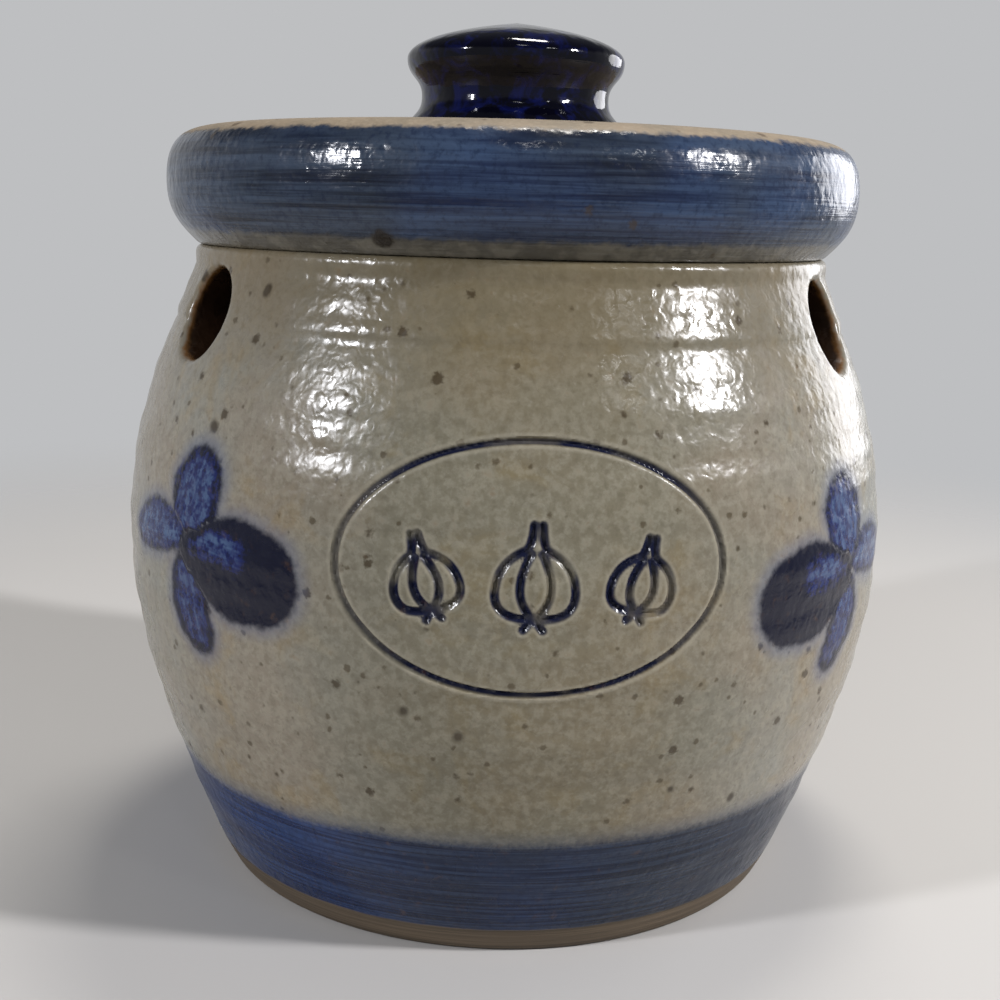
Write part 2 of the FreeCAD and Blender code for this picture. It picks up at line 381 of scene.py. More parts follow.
def lid_outline():
    """Half outline of the lid, from the middle of its underside to the middle of its top."""
    ceiling = KNOB_SEAT_HEIGHT - LID_TOP
    inner, outer, bottom, seam = COLLAR_INNER_RADIUS, COLLAR_RADIUS, COLLAR_BOTTOM, RIM_HEIGHT
    outline = [(0.0, ceiling)]
    outline += straight(outline[0], (inner - HOLLOW_FILLET, ceiling), 8)
    outline += corner(outline[-1], (inner, ceiling), (inner, ceiling - HOLLOW_FILLET), 8)
    outline += straight(outline[-1], (inner, bottom + COLLAR_ROUNDING), 4)
    outline += corner(outline[-1], (inner, bottom), (inner + COLLAR_ROUNDING, bottom))
    outline += straight(outline[-1], (outer - COLLAR_ROUNDING, bottom), 3)
    outline += corner(outline[-1], (outer, bottom), (outer, bottom + COLLAR_ROUNDING))
    outline += straight(outline[-1], (outer, seam - COLLAR_CORNER), 4)
    outline += corner(outline[-1], (outer, seam), (outer + COLLAR_CORNER, seam), 3)
    outline += straight(outline[-1], (LID_SEAT_RADIUS - COLLAR_CORNER, seam), 4)
    seat = (LID_SEAT_RADIUS + LID_SEAT_EDGE, seam + LID_SEAT_EDGE)
    outline += corner(outline[-1], (LID_SEAT_RADIUS, seam), seat, 4)
    widest = (LID_RADIUS, LID_WIDEST_HEIGHT)
    top_edge = (LID_RADIUS - LID_ROUND_WIDTH, LID_EDGE_HEIGHT)
    outline += bowed(
        seat,
        (LID_SEAT_RADIUS + LID_BEVEL_RUN, seam + LID_BEVEL_RUN),
        (LID_RADIUS, LID_WIDEST_HEIGHT - LID_BEVEL_HEIGHT / 2),
        widest,
        22,
    )
    outline += bowed(
        widest,
        (LID_RADIUS, LID_WIDEST_HEIGHT + LID_ROUND_PULL_UP * LID_ROUND_HEIGHT),
        (top_edge[0] + LID_ROUND_PULL_OUT * LID_ROUND_WIDTH, LID_EDGE_HEIGHT),
        top_edge,
        24,
    )
    outline += straight(top_edge, (KNOB_FOOT_RADIUS, KNOB_SEAT_HEIGHT), 24)
    outline += straight(outline[-1], (0.0, KNOB_SEAT_HEIGHT), 5)
    return outline


def knob_outline():
    """Half outline of the knob, from the middle of its foot to its tip."""
    foot = (KNOB_FOOT_RADIUS, KNOB_SEAT_HEIGHT + KNOB_FOOT_EDGE)
    waist = (KNOB_WAIST_RADIUS, KNOB_SEAT_HEIGHT + KNOB_WAIST_HEIGHT)
    widest = (KNOB_RADIUS, KNOB_SEAT_HEIGHT + KNOB_WIDEST_HEIGHT)
    tip = (0.0, KNOB_TOP)
    neck_rise = widest[1] - waist[1]
    dome_rise = tip[1] - widest[1]
    tip_reach = KNOB_RADIUS / 2
    outline = [(0.0, KNOB_SEAT_HEIGHT)]
    outline += straight(outline[0], (KNOB_FOOT_RADIUS - KNOB_FOOT_EDGE, KNOB_SEAT_HEIGHT), 5)
    outline += corner(outline[-1], (KNOB_FOOT_RADIUS, KNOB_SEAT_HEIGHT), foot, 3)
    outline += bowed(
        foot,
        ((foot[0] + waist[0]) / 2, (foot[1] + waist[1]) / 2),
        (waist[0], waist[1] - KNOB_WAIST_HEIGHT / 2),
        waist,
        14,
    )
    outline += bowed(
        waist,
        (waist[0], waist[1] + neck_rise / 2),
        (widest[0], widest[1] - neck_rise / 2),
        widest,
        14,
    )
    outline += bowed(
        widest,
        (widest[0], widest[1] + dome_rise / 2),
        (tip_reach, tip[1] - KNOB_TIP_SLOPE * tip_reach),
        tip,
        26,
    )
    return outline


# Shaping tools

def pick(piece):
    """Selects only this piece, and makes it the active one."""
    bpy.ops.object.select_all(action="DESELECT")
    bpy.context.view_layer.objects.active = piece
    piece.select_set(True)


def apply_modifier(piece, kind, settings):
    """Adds a modifier with these settings and applies it."""
    pick(piece)
    modifier = piece.modifiers.new(kind.lower(), kind)
    for key, value in settings.items():
        setattr(modifier, key, value)
    bpy.ops.object.modifier_apply(modifier=modifier.name)


def push(piece, group_name, weights, strength):
    """Moves the surface along its normals, as a thumb or a tool does, where weights say."""
    group = piece.vertex_groups.new(name=group_name)
    for index in np.nonzero(weights > LEAST_PUSH)[0]:
        group.add([int(index)], float(weights[index]), "REPLACE")
    apply_modifier(piece, "DISPLACE", {
        "direction": "NORMAL",
        "mid_level": 0.0,
        "strength": strength,
        "vertex_group": group_name,
    })
    piece.vertex_groups.remove(piece.vertex_groups[group_name])


def on_belly(center, near, far, low, high):
    """Whether a face's middle is outside on the belly, between two angles and two heights."""
    angle = abs(math.degrees(math.atan2(center.x, -center.y)))
    outside = center.xy.length > BELLY_RADIUS - WALL
    return outside and near <= angle < far and low < center.z < high


def refine(piece, part, cuts):
    """Subdivides the faces in one part of the belly."""
    pick(piece)
    bpy.ops.object.mode_set(mode="EDIT")
    bpy.ops.mesh.select_mode(type="FACE")
    bpy.ops.mesh.select_all(action="DESELECT")
    bpy.ops.object.mode_set(mode="OBJECT")
    for polygon in piece.data.polygons:
        polygon.select = on_belly(polygon.center, *part)
    bpy.ops.object.mode_set(mode="EDIT")
    bpy.ops.mesh.subdivide(number_cuts=cuts, smoothness=0.0)
    bpy.ops.object.mode_set(mode="OBJECT")


def corners_of(piece):
    """All vertex places of a piece, as an array in metres."""
    places = np.zeros(len(piece.data.vertices) * 3)
    piece.data.vertices.foreach_get("co", places)
    return places.reshape(-1, 3)


def note(piece, name, values):
    """Stores one number for each vertex, for the materials to read."""
    attribute = piece.data.attributes.new(name, "FLOAT", "POINT")
    attribute.data.foreach_set("value", np.asarray(values, dtype=np.float32))


def smooth(piece):
    """Shades a piece smooth, except over its sharp edges."""
    pick(piece)
    bpy.ops.object.shade_smooth_by_angle(angle=math.radians(SHARP_ANGLE))


# Curves that are drawn on the clay, in millimetres across and up

def curve_points(start, middle, end, count=28):
    """Points of a bent line through its two ends, pulled towards middle."""
    t = np.linspace(0.0, 1.0, count)[:, None]
    start, middle, end = np.array(start), np.array(middle), np.array(end)
    return (1 - t) ** 2 * start + 2 * (1 - t) * t * middle + t ** 2 * end


def nearest(places, line):
    """For each place, its distance from a line of points and how far along, and the line's length."""
    best = np.full(len(places), np.inf)
    along = np.zeros(len(places))
    length = 0.0
    for a, b in zip(line, line[1:]):
        run = b - a
        size = float(np.hypot(*run))
        if size == 0.0:
            continue
        rel = places - a
        t = np.clip(rel @ run / size ** 2, 0.0, 1.0)
        gap = rel - t[:, None] * run
        distance = np.hypot(gap[:, 0], gap[:, 1])
        closer = distance < best
        best[closer] = distance[closer]
        along[closer] = length + t[closer] * size
        length += size
    return best, along, length


# Incised oval and the row of bulbs stamped inside it

def bulb_lines(across, up, scale, lean):
    """Lines of one stamped garlic bulb: outline, clove seams, stem and root tuft."""
    drawn = []
    for side in (-1.0, 1.0):
        for *places, count in HALF_BULB:
            drawn.append(curve_points(*[(side * x, y) for x, y in places], count))
    cos, sin = math.cos(math.radians(lean)), math.sin(math.radians(lean))
    placed = []
    for line in drawn:
        x = line[:, 0] * scale
        y = line[:, 1] * scale
        placed.append(np.stack([across + x * cos - y * sin, up + x * sin + y * cos], 1))
    return placed


def oval_line():
    """The oval's line, closed."""
    t = np.linspace(0.0, 2 * math.pi, OVAL_STEPS)
    across = OVAL_HALF_WIDTH / MM * np.cos(t)
    up = OVAL_HEIGHT / MM + OVAL_HALF_HEIGHT / MM * np.sin(t)
    return np.stack([across, up], 1)


def carved_distance(places):
    """Distance in mm from each place to the oval, and to the nearest line of the bulbs."""
    front = np.stack([places[:, 0] / MM, places[:, 2] / MM], 1)
    near = (places[:, 1] < 0) & (np.abs(front[:, 0]) < CARVED_REACH[0])
    near &= np.abs(front[:, 1] - OVAL_HEIGHT / MM) < CARVED_REACH[1]
    near &= np.hypot(places[:, 0], places[:, 1]) > BELLY_RADIUS - CARVED_SKIN
    oval = np.full(len(places), FAR)
    bulbs = np.full(len(places), FAR)
    oval[near] = nearest(front[near], oval_line())[0]
    for bulb in BULBS:
        for line in bulb_lines(*bulb):
            bulbs[near] = np.minimum(bulbs[near], nearest(front[near], line)[0])
    return oval, bulbs


# Brushed cobalt sprays

def stroke_gap(places, side, hub, stroke):
    """Distance in mm of each place from the edge of one brush stroke, less than 0 inside it, and
    the stroke's two ends."""
    start, pull, end = [(hub[0] + side * across, hub[1] + up) for across, up in stroke[:3]]
    distance, run, length = nearest(places, curve_points(start, pull, end))
    t = run / length
    first, middle, last = stroke[3]
    half = first * (1 - t) ** 2 + 2 * middle * t * (1 - t) + last * t ** 2
    return distance - half, np.array(start), np.array(end)


def painted(places):
    """Edge distance, load, and along and across coordinates of the brush strokes."""
    angle = np.arctan2(places[:, 0], -places[:, 1])
    off_front = np.degrees(np.abs(angle))
    flat = np.stack([angle * PAINT_RADIUS, places[:, 2] / MM], 1)
    edge = np.full(len(places), UNPAINTED)
    load = np.zeros(len(places))
    along = np.zeros(len(places))
    across = np.zeros(len(places))
    near = np.hypot(places[:, 0], places[:, 1]) > BELLY_RADIUS - WALL
    near &= (off_front > PAINTED_REACH[0]) & (off_front < PAINTED_REACH[1])
    near &= (flat[:, 1] > PAINTED_HEIGHTS[0]) & (flat[:, 1] < PAINTED_HEIGHTS[1])
    where = np.nonzero(near)[0]
    local = flat[where]
    for side, hub in SPRAYS:
        for stroke in SPRAY_STROKES:
            gap, start, end = stroke_gap(local, side, hub, stroke)
            over = (gap < edge[where]) | (gap < 0)
            chosen = where[over]
            chord = (end - start) / np.hypot(*(end - start))
            reached = local[over] - start
            edge[chosen] = gap[over]
            load[chosen] = stroke[4]
            along[chosen] = reached @ chord + SIDE_SHIFT * side + LOAD_SHIFT * stroke[4]
            across[chosen] = reached @ (-chord[1], chord[0])
        gap = stroke_gap(local, side, hub, THIN_PATCH)[0]
        thinnest = THIN_PATCH[4]
        heavy = load[where] > HEAVY_LOAD
        thinned = thinnest + (1.0 - thinnest) * smooth_step(*THIN_PATCH_EDGE, gap)
        load[where[heavy]] *= thinned[heavy]
    return edge, load, along, across


# Vents

def vent_cutter(angle):
    """Bar that cuts one vent, flared where it leaves the outside of the wall."""
    flare = []
    for a in map(math.radians, VENT_FLARE):
        flare.append((VENT_RADIUS + VENT_EDGE * (1.0 - math.cos(a)), VENT_EDGE * (math.sin(a) - 1.0)))
    wide = flare[-1][0] + VENT_LEAD
    outline = [(0.0, VENT_INNER_END), (VENT_RADIUS, VENT_INNER_END), (VENT_RADIUS, -WALL)] + flare
    outline += [(wide, VENT_LEAD_START), (wide, VENT_OUTER_END), (0.0, VENT_OUTER_END)]
    cutter = turned("vent_cutter", outline, VENT_SEGMENTS)
    wall = np.array(jar_wall(0.0))
    order = np.argsort(wall[:, 1])
    for vertex in cutter.data.vertices:
        across, up, depth = vertex.co.x, vertex.co.y, vertex.co.z
        radius = float(np.interp(VENT_HEIGHT + up, wall[order, 1], wall[order, 0]))
        surface = math.sqrt(radius ** 2 - across ** 2)
        vertex.co = Vector((across, -surface - depth, VENT_HEIGHT + up))
    cutter.data.transform(Matrix.Rotation(math.radians(angle), 4, "Z"))
    cutter.data.update()
    pick(cutter)
    bpy.ops.object.mode_set(mode="EDIT")
    bpy.ops.mesh.select_all(action="SELECT")
    bpy.ops.mesh.normals_make_consistent(inside=False)
    bpy.ops.object.mode_set(mode="OBJECT")
    return cutter


def cut_vents(jar):
    """Cuts the three vents through the shoulder, and closes up the slivers that the cuts leave."""
    for angle in VENT_ANGLES:
        cutter = vent_cutter(angle)
        apply_modifier(jar, "BOOLEAN", {"operation": "DIFFERENCE", "object": cutter, "solver": "EXACT"})
        bpy.data.objects.remove(cutter)
    pick(jar)
    bpy.ops.object.mode_set(mode="EDIT")
    bpy.ops.mesh.select_all(action="SELECT")
    bpy.ops.mesh.dissolve_degenerate(threshold=SLIVER)
    bpy.ops.mesh.remove_doubles(threshold=SLIVER)
    bpy.ops.object.mode_set(mode="OBJECT")


# Pieces

def wall_depth(places):
    """How far in from the outside of the wall each place is, in mm."""
    wall = np.array([point for point in jar_outline() if point[0] > FOOT_RADIUS / 2])
    outside = wall[:int(np.argmax(wall[:, 1])) + 1]
    order = np.argsort(outside[:, 1], kind="stable")
    outer = np.interp(places[:, 2], outside[order, 1], outside[order, 0])
    return (outer - np.hypot(places[:, 0], places[:, 1])) / MM


def make_jar():
    jar = turned("thrown_jar", jar_outline(), JAR_SEGMENTS)
    cut_vents(jar)
    refine(jar, OVAL_PART, 2)
    refine(jar, SPRAY_PART, 1)
    places = corners_of(jar)
    oval, bulbs = carved_distance(places)
    carved = np.minimum(oval, bulbs)
    push(jar, "groove", 1.0 - smooth_step(*GROOVE_SIDE, carved), -GROOVE_DEPTH)
    burr = smooth_step(*BURR_RISE, carved) * (1.0 - smooth_step(*BURR_FALL, carved))
    push(jar, "burr", burr, BURR_HEIGHT)
    note(jar, "wall_depth", wall_depth(places))
    note(jar, "oval_line", oval)
    note(jar, "bulb_line", bulbs)
    for name, values in zip(("edge", "load", "along", "across"), painted(places)):
        note(jar, "brush_" + name, values)
    smooth(jar)
    jar.data.materials.clear()
    jar.data.materials.append(salt_glazed_stoneware())
    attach(jar, "jar")
    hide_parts("jar")


def make_lid():
    lid = turned("thrown_lid", lid_outline(), LID_SEGMENTS)
    smooth(lid)
    lid.data.materials.append(cobalt_banded_lid())
    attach(lid, "lid")
    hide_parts("lid")


def make_knob():
    knob = turned("thrown_knob", knob_outline(), KNOB_SEGMENTS)
    smooth(knob)
    knob.data.materials.append(pooled_cobalt_glaze())
    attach(knob, "lid")
    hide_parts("knob")


# Materials. They work in mm, so a noise of scale 1 / 26.0 has drifts about 26 mm across

# Settings that a kind of node has here unless a call says otherwise
USUAL = {
    "Mix": {"data_type": "RGBA"},
    "MapRange": {"interpolation_type": "SMOOTHSTEP"},
}


def add(tree, kind, *inputs, out=0, named=None, **settings):
    """Adds a node with its settings, sets or links its open inputs in turn, and gives an output."""
    node = tree.nodes.new("ShaderNode" + kind)
    for key, value in {**USUAL.get(kind, {}), **settings}.items():
        setattr(node, key, value)
    pairs = list(zip([socket for socket in node.inputs if socket.enabled], inputs))
    pairs += [(node.inputs[key], value) for key, value in (named or {}).items()]
    for socket, value in pairs:
        if isinstance(value, bpy.types.NodeSocket):
            tree.links.new(value, socket)
        elif value is not None:
            socket.default_value = value
    outputs = [socket for socket in node.outputs if socket.enabled]
    return outputs[out] if outputs else None


def new_finish(name):
    """An empty material, and its nodes."""
    material = bpy.data.materials.new(name)
    material.use_nodes = True
    tree = material.node_tree
    tree.nodes.clear()
    return material, tree


def pot_coordinates(tree):
    """Place on the pot in mm: the point, its radius and its height, and its angle in radians."""
    place = add(tree, "TexCoord", out=3)
    point = add(tree, "VectorMath", place, 1 / MM, operation="SCALE")
    x, y, height = [add(tree, "SeparateXYZ", point, out=i) for i in range(3)]
    back = add(tree, "Math", y, -1.0, operation="MULTIPLY")
    angle = add(tree, "Math", x, back, operation="ARCTAN2")
    level = add(tree, "CombineXYZ", x, y)
    radius = add(tree, "VectorMath", level, operation="LENGTH")
    return point, radius, height, angle


def streaks(tree, point, radius, height, run, spacing):
    """Fine lines that run level round the pot, run mm long and spacing mm apart, as a noise."""
    across = add(tree, "Math", height, radius)
    x, y = [add(tree, "SeparateXYZ", point, out=i) for i in range(2)]
    scaled = add(
        tree, "CombineXYZ",
        add(tree, "Math", x, 1 / run, operation="MULTIPLY"),
        add(tree, "Math", y, 1 / run, operation="MULTIPLY"),
        add(tree, "Math", across, 1 / spacing, operation="MULTIPLY"),
    )
    return add(tree, "TexNoise", scaled, 1.0, 3.0, 0.6)


def shift(tree, noise, reach):
    """A noise as a shift to either side of 0, over reach mm in all."""
    return add(tree, "Math", add(tree, "Math", noise, -0.5), reach, operation="MULTIPLY")


def iron_specks(tree, point, spacing, size, share):
    """Round specks of up to size mm, spacing mm apart, with edges ragged by 0.5 mm: iron in the
    clay that burnt through the glaze. Share is how many of them show."""
    distance = add(tree, "TexVoronoi", point, 1 / spacing)
    chance = add(tree, "TexVoronoi", point, 1 / spacing, out=1)
    lot = add(tree, "SeparateColor", chance)
    reach = add(tree, "MapRange", lot, 1.0 - share, 1.0, 0.0, size / spacing)
    ragged = add(tree, "TexNoise", point, 1 / 0.5, 1.0)
    reach = add(tree, "Math", reach, add(tree, "Math", ragged, 0.5), operation="MULTIPLY")
    inside = add(tree, "Math", reach, distance, operation="SUBTRACT")
    return add(tree, "MapRange", inside, -0.1 * size / spacing, 0.45 * size / spacing)


def speckled(tree, point, colour, spacing, size, share, strength, code):
    """Lays iron specks over a colour."""
    specks = iron_specks(tree, point, spacing, size, share)
    specks = add(tree, "Math", specks, strength, operation="MULTIPLY")
    return add(tree, "Mix", specks, colour, srgb(code))


def orange_peel(tree, point):
    """Height of the pebbled skin that salt vapour leaves: bumps 1.7 mm apart with a 1.1 mm
    grain, on a swell of 3.2 mm."""
    bumps = add(tree, "TexVoronoi", point, 1 / 1.7, 0.0, 0.5, 2.0, 0.8, feature="SMOOTH_F1")
    fine = add(tree, "TexNoise", point, 1 / 1.1, 1.0, 0.45, None, 0.3)
    broad = add(tree, "TexNoise", point, 1 / 3.2, 2.0, 0.5)
    rise = add(
        tree, "Math", add(tree, "Math", bumps, -0.7, operation="MULTIPLY"),
        add(tree, "Math", fine, 0.8, operation="MULTIPLY"),
    )
    return add(tree, "Math", rise, add(tree, "Math", broad, 0.9, operation="MULTIPLY"))


def close_finish(tree, colour, roughness, relief, strength, depth, mirror):
    """Ends a finish in a glossy shader. Depth, in metres, and strength are its bumps', and
    mirror is how far it reflects."""
    normal = add(tree, "Bump", named={"Strength": strength, "Distance": depth, "Height": relief})
    shader = add(tree, "BsdfPrincipled", named={
        "Base Color": colour,
        "Roughness": roughness,
        "IOR": GLAZE_IOR,
        "Specular IOR Level": mirror,
        "Normal": normal,
    })
    add(tree, "OutputMaterial", shader)


def salt_glazed_stoneware():
    """Grey stoneware, thrown, brushed with cobalt slip and salt glazed: a pebbled glossy
    skin over clay that shows iron specks, with a brown slip liner and a bare pared foot."""
    material, tree = new_finish("salt_glazed_stoneware")
    point, radius, height, angle = pot_coordinates(tree)
    turn = add(tree, "Math", angle, PAINT_RADIUS, operation="MULTIPLY")

    # Clay under the salt glaze: cooler and warmer grey in drifts of 26 mm, an ochre blush in
    # patches of 9 mm, and painted shade: a darker, ochre-tinted front that fades 12 to 46 mm round from
    # its middle
    drift = add(tree, "MapRange", add(tree, "TexNoise", point, 1 / 26.0, 3.0, 0.55), 0.38, 0.64)
    colour = add(tree, "Mix", drift, srgb("#7f7e75"), srgb("#82796a"))
    patches = add(tree, "TexNoise", point, 1 / 9.0, 3.0, 0.6, None, 0.6)
    blush = add(tree, "MapRange", patches, 0.54, 0.72, 0.0, 0.36)
    colour = add(tree, "Mix", blush, colour, srgb("#8a7448"))
    off_front = add(tree, "Math", turn, operation="ABSOLUTE")
    off_front = add(tree, "Math", off_front, add(tree, "Math", drift, 8.0, operation="MULTIPLY"))
    # Painted shade: the front of the pot is darkened towards an ochre grey, most at its middle
    painted_front_shade = add(tree, "MapRange", off_front, 12.0, 46.0, 0.56, 0.0)
    colour = add(tree, "Mix", painted_front_shade, colour, srgb("#665d42"))

    # Pale and dark mottle of the glaze, 1.5 and 0.9 mm across, and a neck above 76 mm that is browner
    # (the glaze's own tone) and darker (painted shade under the lid)
    pale = add(tree, "TexNoise", point, 1 / 1.5, 3.0, 0.65)
    cloud = add(tree, "MapRange", pale, 0.38, 0.66, 0.0, 0.34)
    colour = add(tree, "Mix", cloud, colour, srgb("#9d9989"))
    dark = add(tree, "TexNoise", point, 1 / 0.9, 2.0, 0.6)
    mottle = add(tree, "MapRange", dark, 0.46, 0.7, 0.0, 0.26)
    colour = add(tree, "Mix", mottle, colour, srgb("#574f3e"))
    raised = add(tree, "Math", height, add(tree, "Math", cloud, 12.0, operation="MULTIPLY"))
    # The neck's darkening is partly the glaze's own brown and partly painted shade under the lid's
    # overhang
    neck = add(tree, "MapRange", raised, 76.0, 98.0, 0.0, 0.6)
    colour = add(tree, "Mix", neck, colour, srgb("#62553b"))
    for specks in JAR_SPECKS:
        colour = speckled(tree, point, colour, *specks)

    # Larger iron spots, with edges ragged by about 0.8 mm
    unrolled = add(tree, "CombineXYZ", turn, height)
    for degrees, up, size in JAR_SPOTS:
        spot = (math.radians(degrees) * PAINT_RADIUS, up, 0.0)
        away = add(tree, "VectorMath", unrolled, spot, operation="DISTANCE")
        ragged = add(tree, "TexNoise", point, 1 / 0.9, 2.0)
        away = add(tree, "Math", away, add(tree, "Math", ragged, 0.8, operation="MULTIPLY"))
        burnt = add(tree, "MapRange", away, size, size + 0.8, 0.85, 0.0)
        colour = add(tree, "Mix", burnt, colour, srgb("#33291b"))

    # Cobalt band brushed round the foot while the pot turned. Its top wavers over 14 mm and is
    # ragged by 0.7 mm, its bristle lines are 0.55 mm apart, and it is stronger to the left
    waver = shift(tree, add(tree, "TexNoise", point, 1 / 14.0, 2.0), 1.6)
    lifted = add(tree, "Math", height, waver)
    ragged = shift(tree, add(tree, "TexNoise", point, 1 / 0.7, 2.0, 0.7), 1.4)
    lifted = add(tree, "Math", lifted, ragged)
    band_top = add(tree, "MapRange", lifted, BAND_TOP - 1.3, BAND_TOP + 0.9, 1.0, 0.0)
    halo = add(tree, "MapRange", lifted, BAND_TOP - 0.5, BAND_TOP + 3.2, 0.45, 0.0)
    lines = streaks(tree, point, radius, height, 26.0, 0.55)
    leftward = add(tree, "Math", add(tree, "SeparateXYZ", point), -0.005, operation="MULTIPLY")
    drift = add(tree, "TexNoise", point, 1 / 30.0, 2.0)
    drift = add(tree, "Math", add(tree, "Math", drift, 0.4, operation="MULTIPLY"), leftward)
    strength = add(tree, "MapRange", drift, 0.08, 0.44)
    thin = add(tree, "Mix", strength, srgb("#2a3546"), srgb("#283f6c"))
    thick = add(tree, "Mix", strength, srgb("#0e1626"), srgb("#0a1c46"))
    wash = add(tree, "Mix", add(tree, "MapRange", lines, 0.36, 0.64), thick, thin)
    dabs = add(tree, "MapRange", add(tree, "TexNoise", point, 1 / 0.9, 3.0, 0.7), 0.45, 0.7, 0.0, 0.5)
    wash = add(tree, "Mix", dabs, wash, srgb("#0f1a34"))
    colour = add(tree, "Mix", halo, colour, srgb("#4d5768"))
    colour = add(tree, "Mix", band_top, colour, wash)

    # Sprays: pigment pools dark at the edge of a stroke and drags thin along its middle, in
    # bristle lines about 1 mm apart and 10 mm long
    edge, load, along, across = [
        add(tree, "Attribute", out=2, attribute_name="brush_" + name)
        for name in ("edge", "load", "along", "across")
    ]
    rough = shift(tree, add(tree, "TexNoise", point, 1 / 1.1, 2.0, 0.6), 1.0)
    rough_edge = add(tree, "Math", edge, rough)
    stroke = add(tree, "MapRange", rough_edge, -0.7, 0.55, 1.0, 0.0)
    bleed = add(tree, "MapRange", rough_edge, -0.2, 2.6, 0.42, 0.0)
    bristle_place = add(
        tree, "CombineXYZ",
        add(tree, "Math", along, 0.1, operation="MULTIPLY"),
        add(tree, "Math", across, 1.05, operation="MULTIPLY"),
    )
    bristles = add(tree, "MapRange", add(tree, "TexNoise", bristle_place, 1.0, 3.0, 0.6), 0.34, 0.66)
    pooled = add(tree, "MapRange", edge, -2.4, -0.5, 0.0, 0.5)
    body = add(tree, "Math", add(tree, "Math", bristles, 0.3, operation="MULTIPLY"), pooled)
    body = add(tree, "Math", body, add(tree, "Math", load, 1.4, operation="MULTIPLY"))
    dapple = add(tree, "TexNoise", point, 1 / 1.25, 2.0, 0.65)
    body = add(tree, "Math", body, add(tree, "MapRange", dapple, 0.4, 0.66, 0.0, 0.45))
    leaf = add(tree, "Mix", add(tree, "MapRange", body, 0.25, 0.95), srgb("#485d7d"), srgb("#111c50"))
    paint = add(tree, "Mix", add(tree, "MapRange", body, 0.85, 1.35), leaf, srgb("#04071f"))
    colour = add(tree, "Mix", bleed, colour, srgb("#4a5878"))
    colour = add(tree, "Mix", stroke, colour, paint)

    # Incised lines: dark wash lies in them, in patches of 6 mm and thinner at the oval's sides,
    # and the glaze breaks pale on their edges
    oval = add(tree, "Attribute", out=2, attribute_name="oval_line")
    bulbs = add(tree, "Attribute", out=2, attribute_name="bulb_line")
    carved = add(tree, "Math", oval, bulbs, operation="MINIMUM")
    broken = add(
        tree, "Math",
        add(tree, "MapRange", carved, 0.4, 0.65),
        add(tree, "MapRange", carved, 0.7, 1.2, 0.35, 0.0),
        operation="MULTIPLY",
    )
    colour = add(tree, "Mix", broken, colour, srgb("#a39d8c"))
    patchy = add(tree, "TexNoise", point, 1 / 6.0, 2.0, 0.6)
    patchy = add(tree, "MapRange", patchy, 0.36, 0.56, 0.25, 1.0)
    off_centre = add(tree, "Math", height, -OVAL_HEIGHT / MM)
    off_centre = add(tree, "Math", off_centre, operation="ABSOLUTE")
    steep = add(tree, "MapRange", off_centre, 3.0, 13.0, 0.45, 1.0)
    in_oval = add(tree, "MapRange", oval, 0.22, 0.52)
    in_oval = add(tree, "Math", add(tree, "Math", in_oval, -1.0, operation="MULTIPLY"), 1.0)
    in_oval = add(tree, "Math", in_oval, steep, operation="MULTIPLY")
    share = add(tree, "Math", add(tree, "Math", patchy, 0.45, operation="MULTIPLY"), 0.6)
    in_oval = add(tree, "Math", in_oval, share, operation="MULTIPLY")
    in_bulbs = add(tree, "MapRange", bulbs, 0.4, 0.8, 1.0, 0.0)
    in_bulbs = add(tree, "Math", in_bulbs, patchy, operation="MULTIPLY")
    wash_in = add(tree, "Math", in_oval, in_bulbs, operation="MAXIMUM")
    colour = add(tree, "Mix", wash_in, colour, srgb("#14182e"))

    # Brown slip liner, seen through the vents, amber where it starts in their edges. Numbers are
    # mm into the wall, and the line wanders over 1.5 mm
    depth = add(tree, "Attribute", out=2, attribute_name="wall_depth")
    lip = add(tree, "Math", depth, shift(tree, add(tree, "TexNoise", point, 1 / 1.5, 2.0), 1.2))
    lined = add(tree, "MapRange", lip, 0.6, 1.6)
    amber = add(tree, "MapRange", lip, 0.1, 0.9)
    above_foot = add(tree, "MapRange", height, FOOT_BEVEL_HEIGHT / MM, FOOT_BEVEL_HEIGHT / MM + 1.0)
    on_shoulder = add(tree, "MapRange", height, *AMBER_END, 1.0, 0.0)
    amber = add(tree, "Math", amber, above_foot, operation="MULTIPLY")
    amber = add(tree, "Math", amber, on_shoulder, operation="MULTIPLY")
    lined = add(tree, "Math", lined, above_foot, operation="MULTIPLY")
    colour = add(tree, "Mix", amber, colour, srgb("#6b4a26"))
    colour = add(tree, "Mix", lined, colour, srgb("#2a1c12"))

    # Bare foot, pared on the wheel in lines 0.35 mm apart, up to an edge that wavers over 5 mm
    waver = shift(tree, add(tree, "TexNoise", point, 1 / 5.0, 2.0), 0.5)
    edge_waver = add(tree, "Math", height, waver)
    bare = add(tree, "MapRange", edge_waver, BAND_BOTTOM - 0.15, BAND_BOTTOM + 0.2, 1.0, 0.0)
    paring = streaks(tree, point, radius, height, 30.0, 0.35)
    clay = add(tree, "Mix", add(tree, "MapRange", paring, 0.35, 0.65), srgb("#4f4538"), srgb("#6a5c4b"))
    colour = add(tree, "Mix", bare, colour, clay)

    gloss = add(tree, "MapRange", add(tree, "TexNoise", point, 1 / 5.0, 2.0), 0.35, 0.65, 0.19, 0.28)
    roughness = add(tree, "Mix", bare, gloss, BARE_FOOT_ROUGHNESS, data_type="FLOAT")
    peel = orange_peel(tree, point)
    cuts = add(tree, "Math", paring, 1.2, operation="MULTIPLY")
    relief = add(tree, "Mix", bare, peel, cuts, data_type="FLOAT")
    close_finish(tree, colour, roughness, relief, *SALT_GLAZE_SKIN)
    return material


